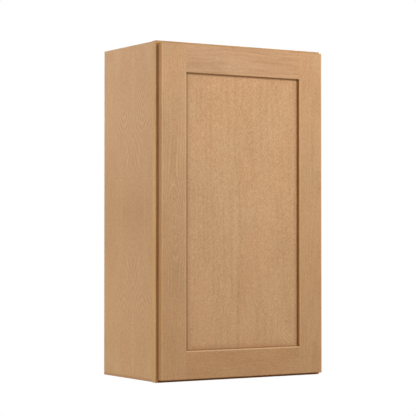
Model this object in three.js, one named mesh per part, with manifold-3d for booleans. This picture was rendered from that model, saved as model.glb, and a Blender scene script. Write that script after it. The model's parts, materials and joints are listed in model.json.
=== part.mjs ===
// Hanging wall cabinet: a face-frame box with a fixed back, two loose shelves and one door with a
// recessed flat panel, hung on a pair of concealed hinges. Millimetres, +Z up, -Y to the room.
// The origin is the middle of the top hanging rail's back face, in the plane of the wall. Pieces
// are drawn with z measured from the cabinet's lower edge, and the whole group is then lowered.
import * as THREE from "three";
import { mergeVertices } from "three/addons/utils/BufferGeometryUtils.js";
import Module from "manifold-3d";

const wasm = await Module();
wasm.setup();

// ---- Driving dimensions ---------------------------------------------------------------------

const FIT = 0.3; // clearance between two joined faces, which glue fills
const PAST = 1; // how far a cutting shape runs past the face that it opens
const FACETS = { hole: 8, rod: 16, screw: 12, bumper: 24, cup: 64 };

// The box
const CABINET_WIDTH = 533.4;
const CABINET_HEIGHT = 914.4;
const BOX_DEPTH = 276.2; // wall to the back of the face frame
const PLY = 12.7; // side, top and bottom panels and hanging rails
const HOUSING = 6.35; // depth of the housings that the top and bottom panels are let into
const BACK_THICKNESS = 5.2;
const BACK_GROOVE = 5.5; // depth of the grooves that the back panel is let into
const BOTTOM_UNDERSIDE = 25.4; // the bottom panel sits above the sides' lower edges
const RAIL_HEIGHT = 76.2; // hanging rails behind the back panel

// The face frame
const FRAME_THICKNESS = 19.05;
const FRAME_MEMBER = 38.1; // width of its stiles and rails
const FRAME_LIP = 1.1; // how far it stands above and below the side panels
const TENON_LENGTH = 20;
const TENON_ROOT = 2; // overlap of a tenon with its rail
const TENON_THICKNESS = 6.35;
const TENON_WIDTH = 25.4;

// The door
const REVEAL = 6.35; // face frame left showing round the door
const DOOR_GAP = 1.5; // closed door to the face frame
const DOOR_THICKNESS = 19.05;
const DOOR_MEMBER = 76.2; // width of its stiles and rails
const PANEL_THICKNESS = 6.35;
const PANEL_RECESS = 9.5; // door front back to the panel's front
const DOOR_GROOVE = 10; // depth of the groove that holds the panel
const BUMPER_RADIUS = 4.5;
const BUMPER_HEIGHT = 1.1;
const BUMPER_RIM = 0.35; // height of its upright rim, under the dome
const BUMPER_STEPS = 5; // rings of facets in the dome
const BUMPER_GLUE = 0.1; // between the bumper and the door
const BUMPER_INSET = 13; // door edge to the bumper's middle

// The shelves
const SHELF_THICKNESS = 15.9;
const SHELF_SIDE_GAP = 2;
const SHELF_BACK_GAP = 1.5;
const SHELF_SETBACK = 14; // behind the face frame
const BAND_THICKNESS = 1;
const HOLE_PITCH = 32;
const HOLE_ROWS = 15;
const FIRST_HOLE = 228; // height of the lowest row
const SHELF_ROWS = { lower: 3, upper: 12 };
const HOLE_RADIUS = 2.6;
const HOLE_DEPTH = 9;
const PIN_RADIUS = 2.35;
const PIN_COLLAR_RADIUS = 3.6;
const PIN_COLLAR_LENGTH = 1.2;
const PIN_LEDGE = { reach: 11, halfWidth: 4.5, low: 0.5, high: 2.5 };
const HOLE_INSET = 38; // from the face frame and from the back panel to a column of holes

// The hinges. Their pieces are drawn in a frame of their own: x from the door's edge into the
// door, y from the face frame's front towards the room, z up from the hinge's middle.
const HINGE_INSET = 88.9; // door end to the hinge's middle
const BASE_PIVOT = new THREE.Vector2(28, 2.3); // the link turns here on the base
const CUP_PIVOT = new THREE.Vector2(9.2, 4.5); // the door turns here on the link
const LINK_ARCH = [new THREE.Vector2(11, 8.6), new THREE.Vector2(19.4, 8.6)];
const LINK_HALF_WIDTH = 4.5;
const LINK_HALF_THICKNESS = 1.1;
const EYE_RADIUS = 1.95; // rounded ends that hold the pivots
const PIVOT_RADIUS = 1;
const PIVOT_BORE = 1.2;
const EAR = { inner: 5, outer: 7 }; // ears each side of the link
const CUP_CENTRE = 22.5; // door edge to the cup's middle
const CUP_RADIUS = 17.3;
const CUP_WALL = 0.8;
const CUP_DEPTH = 11.5;
const CUP_LUG_HALF_LENGTH = 2;
const CUP_NOTCH = 1.2; // depth of the notch in its rim that the open link passes through
const FLANGE = { thickness: 1, halfLength: 28, near: 13, far: 32, corner: 6 };
const CUP_SCREW_SPACING = 45;
const BASE_PLATE = 1.5; // sheet thickness
const BASE_HALF_LENGTH = 22;
const BASE_LIP = 6; // reach of the lip behind the face frame
const BASE_NOSE = { far: 35.5, back: -7 };
const BASE_SCREW_SPACING = 30;
const SCREW = { length: 14, shank: 1.6, head: 3, headHeight: 1.6, point: 2.5 };
const SCREW_CLEARANCE = 0.25; // in the hinge's own holes

// ---- Worked out from them -------------------------------------------------------------------

const HALF_WIDTH = CABINET_WIDTH / 2;
const INNER_HALF = HALF_WIDTH - PLY; // side panels' inner faces
const SIDE_LOW = FRAME_LIP;
const SIDE_HIGH = CABINET_HEIGHT - FRAME_LIP;
const BOTTOM_TOP = BOTTOM_UNDERSIDE + PLY;
const TOP_UNDERSIDE = SIDE_HIGH - PLY;
const RAIL_CENTRE = TOP_UNDERSIDE - FIT - RAIL_HEIGHT / 2; // height of the origin
const BACK_REAR = -PLY - FIT; // the back panel stands in front of the hanging rails
const BACK_FRONT = BACK_REAR - BACK_THICKNESS;
const FRAME_FRONT = -BOX_DEPTH - FRAME_THICKNESS;
const FRAME_OPENING = HALF_WIDTH - FRAME_MEMBER; // half the opening's width
const DOOR_BACK = FRAME_FRONT - DOOR_GAP;
const DOOR_FRONT = DOOR_BACK - DOOR_THICKNESS;
const DOOR_HALF = HALF_WIDTH - REVEAL;
const DOOR_LOW = REVEAL;
const DOOR_HIGH = CABINET_HEIGHT - REVEAL;
const PANEL_HALF = DOOR_HALF - DOOR_MEMBER; // half the visible panel's width
const PANEL_FRONT = DOOR_FRONT + PANEL_RECESS;
const PANEL_BACK = PANEL_FRONT + PANEL_THICKNESS;
const HOLE_COLUMNS = { front: -BOX_DEPTH + HOLE_INSET, back: BACK_FRONT - HOLE_INSET };
const FRAME_EDGE = FRAME_MEMBER - REVEAL; // the frame's inner edge, in a hinge's frame
const HINGE_HEIGHTS = { lower: DOOR_LOW + HINGE_INSET, upper: DOOR_HIGH - HINGE_INSET };

// ---- Materials ------------------------------------------------------------------------------

const stainedMaple = new THREE.MeshStandardMaterial({ color: 0xb9906a, roughness: 0.5 });
const stainedVeneer = new THREE.MeshStandardMaterial({ color: 0xbd946d, roughness: 0.5 });
const lightMaple = new THREE.MeshStandardMaterial({ color: 0xdcc39e, roughness: 0.45 });
const bareWood = new THREE.MeshStandardMaterial({ color: 0xcbb088, roughness: 0.75 });
const nickel = new THREE.MeshStandardMaterial({ color: 0xb9b9b4, roughness: 0.3, metalness: 1 });
const clearPlastic = new THREE.MeshStandardMaterial({ color: 0xe4e6e4, roughness: 0.25 });

// ---- Shapes ---------------------------------------------------------------------------------

function box([x0, y0, z0], [x1, y1, z1]) {
  const geometry = new THREE.BoxGeometry(Math.abs(x1 - x0), Math.abs(y1 - y0), Math.abs(z1 - z0));
  return geometry.translate((x0 + x1) / 2, (y0 + y1) / 2, (z0 + z1) / 2);
}

// Turns a shape drawn along +Y to lie along another direction.
function along(geometry, x, y, z) {
  const turn = new THREE.Quaternion();
  turn.setFromUnitVectors(new THREE.Vector3(0, 1, 0), new THREE.Vector3(x, y, z));
  return geometry.applyQuaternion(turn);
}

function uprightRod(radius, x, y, low, high, sides = FACETS.rod) {
  const rod = along(new THREE.CylinderGeometry(radius, radius, high - low, sides), 0, 0, 1);
  return rod.translate(x, y, (low + high) / 2);
}

function crossRod(radius, x0, x1, y, z, sides = FACETS.hole) {
  const length = Math.abs(x1 - x0);
  const rod = along(new THREE.CylinderGeometry(radius, radius, length, sides), 1, 0, 0);
  return rod.translate((x0 + x1) / 2, y, z);
}

// An outline in the hinge's plan, raised from one height to another.
function raised(outline, low, high) {
  const options = { depth: high - low, bevelEnabled: false, curveSegments: FACETS.hole };
  return new THREE.ExtrudeGeometry(outline, options).translate(0, 0, low);
}

// A plate with rounded corners, in the plane of x and z, from one y to another.
function roundedPlate([x0, y0, z0], [x1, y1, z1], corner) {
  const outline = new THREE.Shape();
  outline.absarc(x1 - corner, z1 - corner, corner, 0, Math.PI / 2);
  outline.absarc(x0 + corner, z1 - corner, corner, Math.PI / 2, Math.PI);
  outline.absarc(x0 + corner, z0 + corner, corner, Math.PI, 1.5 * Math.PI);
  outline.absarc(x1 - corner, z0 + corner, corner, 1.5 * Math.PI, 2 * Math.PI);
  return raised(outline, -y1, -y0).rotateX(Math.PI / 2);
}

// The outline of a strip of even thickness that bends at the points of a path.
function stripOutline(path, halfThickness) {
  const normals = path.slice(1).map((point, i) => {
    const run = point.clone().sub(path[i]).normalize();
    return new THREE.Vector2(-run.y, run.x);
  });
  const offsets = path.map((point, i) => {
    const before = normals[Math.max(i - 1, 0)];
    const after = normals[Math.min(i, normals.length - 1)];
    const mitre = before.clone().add(after);
    return mitre.multiplyScalar(halfThickness / (1 + before.dot(after)));
  });
  const near = path.map((point, i) => point.clone().sub(offsets[i]));
  const far = path.map((point, i) => point.clone().add(offsets[i]));
  return new THREE.Shape([...near, ...far.reverse()]);
}

// A countersunk wood screw with its point at the origin and its head up +Y, or its hole.
function screw(clearance = 0) {
  const shank = SCREW.shank + clearance;
  const profile = [
    new THREE.Vector2(0, -clearance),
    new THREE.Vector2(shank, SCREW.point - clearance),
    new THREE.Vector2(shank, SCREW.length - SCREW.headHeight - clearance),
    new THREE.Vector2(SCREW.head + clearance, SCREW.length),
  ];
  if (clearance > 0) {
    profile.push(new THREE.Vector2(SCREW.head + clearance, SCREW.length + PAST));
  }
  profile.push(new THREE.Vector2(0, profile.at(-1).y));
  return new THREE.LatheGeometry(profile, FACETS.screw);
}

// ---- Joining and cutting --------------------------------------------------------------------

function solidOf(geometry) {
  const bare = geometry.index ? geometry.toNonIndexed() : geometry.clone();
  bare.deleteAttribute("normal");
  bare.deleteAttribute("uv");
  const merged = mergeVertices(bare, 1e-3);
  return new wasm.Manifold(
    new wasm.Mesh({
      numProp: 3,
      vertProperties: merged.attributes.position.array,
      triVerts: new Uint32Array(merged.index.array),
    }),
  );
}

function geometryOf(solid) {
  const mesh = solid.getMesh();
  const geometry = new THREE.BufferGeometry();
  geometry.setAttribute("position", new THREE.BufferAttribute(mesh.vertProperties, 3));
  geometry.setIndex(new THREE.BufferAttribute(mesh.triVerts, 1));
  geometry.computeVertexNormals();
  return geometry;
}

// The first geometries joined into one, with the others cut from it.
function combine(joined, cut = []) {
  let solid = solidOf(joined[0]);
  for (const geometry of joined.slice(1)) {
    solid = solid.add(solidOf(geometry));
  }
  for (const geometry of cut) {
    solid = solid.subtract(solidOf(geometry));
  }
  return geometryOf(solid);
}

function addPiece(group, name, geometry, material) {
  const mesh = new THREE.Mesh(geometry, material);
  mesh.name = name;
  group.add(mesh);
}

// ---- The box --------------------------------------------------------------------------------

const SIDES = { left: -1, right: 1 };

// A side panel with housings for the top, bottom and back panels and two columns of pin holes.
function sidePanel(side) {
  const outer = side * HALF_WIDTH;
  const inner = side * INNER_HALF;
  const housed = side * (INNER_HALF + HOUSING);
  const grooved = side * (INNER_HALF + BACK_GROOVE);
  const past = side * (INNER_HALF - PAST);
  const front = -BOX_DEPTH + FIT;
  const cut = [
    box([past, front - PAST, BOTTOM_UNDERSIDE - FIT], [housed, PAST, BOTTOM_TOP + FIT]),
    box([past, front - PAST, TOP_UNDERSIDE - FIT], [housed, PAST, SIDE_HIGH + PAST]),
    box([past, BACK_FRONT - FIT, BOTTOM_TOP], [grooved, BACK_REAR + FIT, TOP_UNDERSIDE]),
  ];
  for (let row = 0; row < HOLE_ROWS; row++) {
    for (const y of Object.values(HOLE_COLUMNS)) {
      const height = FIRST_HOLE + row * HOLE_PITCH;
      cut.push(crossRod(HOLE_RADIUS, past, inner + side * HOLE_DEPTH, y, height));
    }
  }
  return combine([box([outer, front, SIDE_LOW], [inner, 0, SIDE_HIGH])], cut);
}

// The top or bottom panel, grooved on its inner face for the back panel.
function levelPanel(low, innerFace) {
  const reach = INNER_HALF + HOUSING - FIT;
  const depth = innerFace > low ? -BACK_GROOVE : BACK_GROOVE;
  const groove = box(
    [-reach - PAST, BACK_FRONT - FIT, innerFace + depth],
    [reach + PAST, BACK_REAR + FIT, innerFace - Math.sign(depth) * PAST],
  );
  return combine([box([-reach, -BOX_DEPTH + FIT, low], [reach, 0, low + PLY])], [groove]);
}

function backPanel() {
  const lap = BACK_GROOVE - FIT;
  const reach = INNER_HALF + lap;
  const low = BOTTOM_TOP - lap;
  const high = TOP_UNDERSIDE + lap;
  return box([-reach, BACK_FRONT, low], [reach, BACK_REAR, high]);
}

function hangingRail(centre) {
  const reach = INNER_HALF - FIT;
  return box([-reach, -PLY, centre - RAIL_HEIGHT / 2], [reach, 0, centre + RAIL_HEIGHT / 2]);
}

function makeBox(group) {
  for (const [name, side] of Object.entries(SIDES)) {
    addPiece(group, `side_panel_${name}`, sidePanel(side), stainedVeneer);
  }
  addPiece(group, "top_panel", levelPanel(TOP_UNDERSIDE, TOP_UNDERSIDE), lightMaple);
  addPiece(group, "bottom_panel", levelPanel(BOTTOM_UNDERSIDE, BOTTOM_TOP), lightMaple);
  addPiece(group, "back_panel", backPanel(), lightMaple);
  const lowerRail = BOTTOM_TOP + FIT + RAIL_HEIGHT / 2;
  addPiece(group, "hanging_rail_top", hangingRail(RAIL_CENTRE), bareWood);
  addPiece(group, "hanging_rail_bottom", hangingRail(lowerRail), bareWood);
}

// ---- The face frame -------------------------------------------------------------------------

// A tenon on a frame rail's end, or the mortise for it when it is given a clearance.
function frameTenon(side, railCentre, clearance) {
  const middle = -BOX_DEPTH - FRAME_THICKNESS / 2;
  const halfThickness = TENON_THICKNESS / 2 + clearance;
  const halfWidth = TENON_WIDTH / 2 + clearance;
  return box(
    [side * (FRAME_OPENING - TENON_ROOT), middle - halfThickness, railCentre - halfWidth],
    [side * (FRAME_OPENING + TENON_LENGTH + clearance), middle + halfThickness, railCentre + halfWidth],
  );
}

const FRAME_RAIL_CENTRES = {
  bottom: FRAME_MEMBER / 2,
  top: CABINET_HEIGHT - FRAME_MEMBER / 2,
};

function frameStile(side, screwHoles) {
  const mortises = Object.values(FRAME_RAIL_CENTRES).map((centre) => frameTenon(side, centre, FIT));
  const body = box(
    [side * HALF_WIDTH, FRAME_FRONT, 0],
    [side * FRAME_OPENING, -BOX_DEPTH, CABINET_HEIGHT],
  );
  return combine([body], [...mortises, ...screwHoles]);
}

function frameRail(centre) {
  const reach = FRAME_OPENING - FIT;
  const body = box(
    [-reach, FRAME_FRONT, centre - FRAME_MEMBER / 2],
    [reach, -BOX_DEPTH, centre + FRAME_MEMBER / 2],
  );
  return combine([body, frameTenon(-1, centre, 0), frameTenon(1, centre, 0)]);
}

// ---- The shelves ----------------------------------------------------------------------------

// A pin: a peg in the side panel's hole, a collar against the panel and a ledge for the shelf.
function shelfPin(side, y, height) {
  const wall = side * (INNER_HALF - FIT);
  const collar = side * (INNER_HALF - FIT - PIN_COLLAR_LENGTH);
  const pegEnd = side * (INNER_HALF + HOLE_DEPTH - FIT);
  const ledgeEnd = side * (INNER_HALF - PIN_LEDGE.reach);
  return combine([
    crossRod(PIN_RADIUS, collar, pegEnd, y, height, FACETS.rod),
    crossRod(PIN_COLLAR_RADIUS, wall, collar, y, height, FACETS.rod),
    box(
      [wall, y - PIN_LEDGE.halfWidth, height + PIN_LEDGE.low],
      [ledgeEnd, y + PIN_LEDGE.halfWidth, height + PIN_LEDGE.high],
    ),
  ]);
}

function makeShelf(group, name, row) {
  const height = FIRST_HOLE + row * HOLE_PITCH;
  const low = height + PIN_LEDGE.high + FIT;
  const reach = INNER_HALF - SHELF_SIDE_GAP;
  const back = BACK_FRONT - SHELF_BACK_GAP;
  const front = -BOX_DEPTH + SHELF_SETBACK + BAND_THICKNESS;
  const board = box([-reach, front + FIT, low], [reach, back, low + SHELF_THICKNESS]);
  const band = box([-reach, front - BAND_THICKNESS, low], [reach, front, low + SHELF_THICKNESS]);
  addPiece(group, `shelf_${name}`, board, lightMaple);
  addPiece(group, `shelf_${name}_edge_band`, band, lightMaple);
  for (const [sideName, side] of Object.entries(SIDES)) {
    for (const [column, y] of Object.entries(HOLE_COLUMNS)) {
      addPiece(group, `shelf_pin_${name}_${sideName}_${column}`, shelfPin(side, y, height), nickel);
    }
  }
}

// ---- The door -------------------------------------------------------------------------------

// The groove round the panel, as a long box that a stile's or a rail's cutter takes.
function grooveAcross([x0, z0], [x1, z1]) {
  return box([x0, PANEL_FRONT - FIT, z0], [x1, PANEL_BACK + FIT, z1]);
}

function doorStile(side, hardwareHoles) {
  const inner = side * PANEL_HALF;
  const groove = grooveAcross(
    [inner - side * PAST, DOOR_LOW - PAST],
    [inner + side * DOOR_GROOVE, DOOR_HIGH + PAST],
  );
  const body = box([side * DOOR_HALF, DOOR_FRONT, DOOR_LOW], [inner, DOOR_BACK, DOOR_HIGH]);
  return combine([body], [groove, ...hardwareHoles]);
}

// A rail between the stiles, with a tongue on each end in the stiles' grooves.
function doorRail(outerEdge, inward) {
  const reach = PANEL_HALF - FIT;
  const tongue = PANEL_HALF + DOOR_GROOVE - FIT;
  const innerEdge = outerEdge + inward * DOOR_MEMBER;
  const grooveEnd = innerEdge - inward * DOOR_GROOVE;
  const mouth = innerEdge + inward * PAST;
  const groove = grooveAcross([-reach - PAST, mouth], [reach + PAST, grooveEnd]);
  const body = box([-reach, DOOR_FRONT, outerEdge], [reach, DOOR_BACK, innerEdge]);
  const tongues = box([-tongue, PANEL_FRONT, outerEdge], [tongue, PANEL_BACK, grooveEnd]);
  return combine([combine([body], [groove]), tongues]);
}

function doorPanel() {
  const lap = DOOR_GROOVE - 2 * FIT;
  const halfWidth = PANEL_HALF + lap;
  const low = DOOR_LOW + DOOR_MEMBER - lap;
  const high = DOOR_HIGH - DOOR_MEMBER + lap;
  return box([-halfWidth, PANEL_FRONT, low], [halfWidth, PANEL_BACK, high]);
}

// A domed bumper stuck on the door's back, on the side away from the hinges.
function doorBumper(height) {
  const profile = [new THREE.Vector2(0, 0), new THREE.Vector2(BUMPER_RADIUS, 0)];
  for (let step = 0; step < BUMPER_STEPS; step++) {
    const turn = (step / BUMPER_STEPS) * (Math.PI / 2);
    const rise = BUMPER_RIM + (BUMPER_HEIGHT - BUMPER_RIM) * Math.sin(turn);
    profile.push(new THREE.Vector2(BUMPER_RADIUS * Math.cos(turn), rise));
  }
  profile.push(new THREE.Vector2(0, BUMPER_HEIGHT));
  const dome = new THREE.LatheGeometry(profile, FACETS.bumper);
  return dome.translate(-DOOR_HALF + BUMPER_INSET, DOOR_BACK + BUMPER_GLUE, height);
}

function makeDoor(group, hardwareHoles) {
  addPiece(group, "door_stile_left", doorStile(SIDES.left, []), stainedMaple);
  addPiece(group, "door_stile_right", doorStile(SIDES.right, hardwareHoles), stainedMaple);
  addPiece(group, "door_rail_bottom", doorRail(DOOR_LOW, 1), stainedMaple);
  addPiece(group, "door_rail_top", doorRail(DOOR_HIGH, -1), stainedMaple);
  addPiece(group, "door_panel", doorPanel(), stainedVeneer);
  addPiece(group, "door_bumper_lower", doorBumper(DOOR_LOW + BUMPER_INSET), clearPlastic);
  addPiece(group, "door_bumper_upper", doorBumper(DOOR_HIGH - BUMPER_INSET), clearPlastic);
}

// ---- The hinges -----------------------------------------------------------------------------

const PLATE_FACE = FRAME_EDGE + FIT + BASE_PLATE; // the base plate's face in the opening
const FLANGE_LOW = DOOR_GAP - FIT - FLANGE.thickness;

function baseScrew(z, clearance) {
  const placed = along(screw(clearance), 1, 0, 0);
  return placed.translate(PLATE_FACE - SCREW.length, -FRAME_THICKNESS / 2, z);
}

function cupScrew(z, clearance) {
  const placed = along(screw(clearance), 0, -1, 0);
  return placed.translate(CUP_CENTRE, FLANGE_LOW + SCREW.length, z);
}

function screwPlaces(spacing) {
  return { a: -spacing / 2, b: spacing / 2 };
}

// The hole for a pivot pin, through everything between two heights.
function pivotBore(at, halfHeight) {
  return uprightRod(PIVOT_BORE, at.x, at.y, -halfHeight - PAST, halfHeight + PAST);
}

// The base: a plate on the frame's inner edge, a lip behind the frame and a nose with two ears
// that reach in front of the frame to the link's pivot.
function hingeBase() {
  const near = FRAME_EDGE + FIT;
  const lipFront = -FRAME_THICKNESS - FIT;
  const lipBack = lipFront - BASE_PLATE;
  const plate = box([near, lipBack, -BASE_HALF_LENGTH], [PLATE_FACE, 0, BASE_HALF_LENGTH]);
  const lip = box(
    [near - BASE_LIP, lipBack, -BASE_HALF_LENGTH],
    [PLATE_FACE, lipFront, BASE_HALF_LENGTH],
  );
  const noseTop = BASE_PIVOT.y + EYE_RADIUS;
  const nose = box([near, BASE_NOSE.back, -EAR.outer], [BASE_NOSE.far, noseTop, EAR.outer]);
  const ear = new THREE.Shape();
  ear.absarc(BASE_PIVOT.x, BASE_PIVOT.y, EYE_RADIUS, Math.PI / 2, 1.5 * Math.PI);
  ear.lineTo(near + BASE_PLATE / 2, BASE_PIVOT.y - EYE_RADIUS);
  ear.lineTo(near + BASE_PLATE / 2, BASE_PIVOT.y + EYE_RADIUS);
  const ears = [raised(ear, -EAR.outer, -EAR.inner), raised(ear, EAR.inner, EAR.outer)];
  const bore = pivotBore(BASE_PIVOT, EAR.outer);
  const places = Object.values(screwPlaces(BASE_SCREW_SPACING));
  const holes = places.map((z) => baseScrew(z, SCREW_CLEARANCE));
  return combine([plate, lip, nose, ...ears], [bore, ...holes]);
}

// The link: an arched strip that clears the cup's rim when the door is wide open.
function hingeLink() {
  const half = LINK_HALF_WIDTH;
  const path = [CUP_PIVOT, ...LINK_ARCH, BASE_PIVOT];
  const arch = raised(stripOutline(path, LINK_HALF_THICKNESS), -half, half);
  const eyes = [CUP_PIVOT, BASE_PIVOT].map((p) => uprightRod(EYE_RADIUS, p.x, p.y, -half, half));
  const bores = [CUP_PIVOT, BASE_PIVOT].map((p) => pivotBore(p, half));
  return combine([arch, ...eyes], bores);
}

// A cylinder on the cup's middle line, from one y to another.
function roundCutter(radius, y0, y1) {
  const cutter = new THREE.CylinderGeometry(radius, radius, y1 - y0, FACETS.cup);
  return cutter.translate(CUP_CENTRE, (y0 + y1) / 2, 0);
}

// The cup: a pressed bowl let into the door, a screw flange across it and two lugs for its pivot.
function hingeCup() {
  const inner = CUP_RADIUS - CUP_WALL;
  const floor = DOOR_GAP + CUP_DEPTH - CUP_WALL;
  const mouth = FLANGE_LOW;
  const bowl = new THREE.LatheGeometry(
    [
      new THREE.Vector2(0, floor),
      new THREE.Vector2(inner, floor),
      new THREE.Vector2(inner, mouth),
      new THREE.Vector2(CUP_RADIUS, mouth),
      new THREE.Vector2(CUP_RADIUS, floor + CUP_WALL),
      new THREE.Vector2(0, floor + CUP_WALL),
    ],
    FACETS.cup,
  ).translate(CUP_CENTRE, 0, 0);
  const flange = roundedPlate(
    [FLANGE.near, mouth, -FLANGE.halfLength],
    [FLANGE.far, mouth + FLANGE.thickness, FLANGE.halfLength],
    FLANGE.corner,
  );
  const lugs = [-1, 1].map((end) =>
    box(
      [CUP_PIVOT.x - CUP_LUG_HALF_LENGTH, CUP_PIVOT.y - CUP_LUG_HALF_LENGTH, end * EAR.inner],
      [CUP_PIVOT.x + CUP_LUG_HALF_LENGTH, floor + CUP_WALL / 2, end * EAR.outer],
    ),
  );
  const hollow = roundCutter(inner, mouth - PAST, mouth + FLANGE.thickness + PAST);
  const notch = box(
    [CUP_CENTRE - CUP_RADIUS - PAST, mouth - PAST, -EAR.inner],
    [CUP_PIVOT.x, DOOR_GAP + CUP_NOTCH, EAR.inner],
  );
  const bore = pivotBore(CUP_PIVOT, EAR.outer);
  const places = Object.values(screwPlaces(CUP_SCREW_SPACING));
  const holes = places.map((z) => cupScrew(z, SCREW_CLEARANCE));
  return combine([combine([bowl, flange], [hollow, notch]), ...lugs], [bore, ...holes]);
}

function pivotPin(at) {
  return uprightRod(PIVOT_RADIUS, at.x, at.y, -EAR.outer, EAR.outer);
}

function makeHinge(name, height) {
  const hinge = new THREE.Group();
  hinge.position.set(DOOR_HALF, FRAME_FRONT, height);
  hinge.rotation.z = Math.PI;
  hinge.updateMatrix();
  addPiece(hinge, `hinge_${name}_base`, hingeBase(), nickel);
  addPiece(hinge, `hinge_${name}_base_pin`, pivotPin(BASE_PIVOT), nickel);
  addPiece(hinge, `hinge_${name}_link`, hingeLink(), nickel);
  addPiece(hinge, `hinge_${name}_cup`, hingeCup(), nickel);
  addPiece(hinge, `hinge_${name}_cup_pin`, pivotPin(CUP_PIVOT), nickel);
  for (const [letter, z] of Object.entries(screwPlaces(BASE_SCREW_SPACING))) {
    addPiece(hinge, `hinge_${name}_base_screw_${letter}`, baseScrew(z, 0), nickel);
  }
  for (const [letter, z] of Object.entries(screwPlaces(CUP_SCREW_SPACING))) {
    addPiece(hinge, `hinge_${name}_cup_screw_${letter}`, cupScrew(z, 0), nickel);
  }
  return hinge;
}

// What a hinge needs cut from the wood, in the cabinet's frame.
function cupHoles(hinge) {
  const bore = roundCutter(CUP_RADIUS + FIT, DOOR_GAP - PAST, DOOR_GAP + CUP_DEPTH + FIT);
  const screws = Object.values(screwPlaces(CUP_SCREW_SPACING)).map((z) => cupScrew(z, FIT));
  return [bore, ...screws].map((geometry) => geometry.applyMatrix4(hinge.matrix));
}

function baseHoles(hinge) {
  const screws = Object.values(screwPlaces(BASE_SCREW_SPACING)).map((z) => baseScrew(z, FIT));
  return screws.map((geometry) => geometry.applyMatrix4(hinge.matrix));
}

// ---- The cabinet ----------------------------------------------------------------------------

const cabinet = new THREE.Group();
cabinet.position.z = -RAIL_CENTRE;

const hinges = Object.entries(HINGE_HEIGHTS).map(([name, height]) => makeHinge(name, height));
cabinet.add(...hinges);

makeBox(cabinet);
addPiece(cabinet, "frame_stile_left", frameStile(SIDES.left, []), stainedMaple);
addPiece(cabinet, "frame_stile_right", frameStile(SIDES.right, hinges.flatMap(baseHoles)), stainedMaple);
for (const [name, centre] of Object.entries(FRAME_RAIL_CENTRES)) {
  addPiece(cabinet, `frame_rail_${name}`, frameRail(centre), stainedMaple);
}
for (const [name, row] of Object.entries(SHELF_ROWS)) {
  makeShelf(cabinet, name, row);
}
makeDoor(cabinet, hinges.flatMap(cupHoles));

export default cabinet;
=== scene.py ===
# Looks for the hanging wall cabinet. Metres, +Z up, the room is at -Y, the wall is the plane y = 0.
# Each piece but the screws takes the shape of its CAD node, with its edges eased and its glued
# joints closed. The screws are made here, in the places of the CAD's.

import json
import math
import random

import bmesh
import bpy
from mathutils import Matrix, Vector


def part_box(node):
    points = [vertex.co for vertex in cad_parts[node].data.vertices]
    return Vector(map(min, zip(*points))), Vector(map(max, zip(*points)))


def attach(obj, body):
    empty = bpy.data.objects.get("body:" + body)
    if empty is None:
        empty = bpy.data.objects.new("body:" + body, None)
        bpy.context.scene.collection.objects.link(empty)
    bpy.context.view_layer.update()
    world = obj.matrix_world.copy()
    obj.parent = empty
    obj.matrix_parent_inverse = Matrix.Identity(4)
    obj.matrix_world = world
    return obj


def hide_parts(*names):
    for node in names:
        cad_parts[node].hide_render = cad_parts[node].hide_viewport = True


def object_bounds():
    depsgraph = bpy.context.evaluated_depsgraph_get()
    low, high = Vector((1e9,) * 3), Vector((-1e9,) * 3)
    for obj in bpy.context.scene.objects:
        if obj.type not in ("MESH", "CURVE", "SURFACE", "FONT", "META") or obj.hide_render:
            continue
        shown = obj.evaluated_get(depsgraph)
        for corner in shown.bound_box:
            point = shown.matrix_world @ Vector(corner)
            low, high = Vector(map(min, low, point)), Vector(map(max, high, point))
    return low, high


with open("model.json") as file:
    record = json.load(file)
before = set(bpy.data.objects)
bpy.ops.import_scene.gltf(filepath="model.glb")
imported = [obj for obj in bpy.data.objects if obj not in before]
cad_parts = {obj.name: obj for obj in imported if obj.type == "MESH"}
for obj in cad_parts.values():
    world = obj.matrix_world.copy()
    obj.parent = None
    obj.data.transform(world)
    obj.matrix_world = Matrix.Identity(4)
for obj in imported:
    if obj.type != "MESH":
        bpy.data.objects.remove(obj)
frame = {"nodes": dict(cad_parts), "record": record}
cad_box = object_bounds()
body_of_node = {
    node: body
    for body, members in frame["record"]["behaviour"]["bodies"].items()
    for node in members
}

MM = 0.001


# ---- Node trees -------------------------------------------------------------------------------


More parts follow.
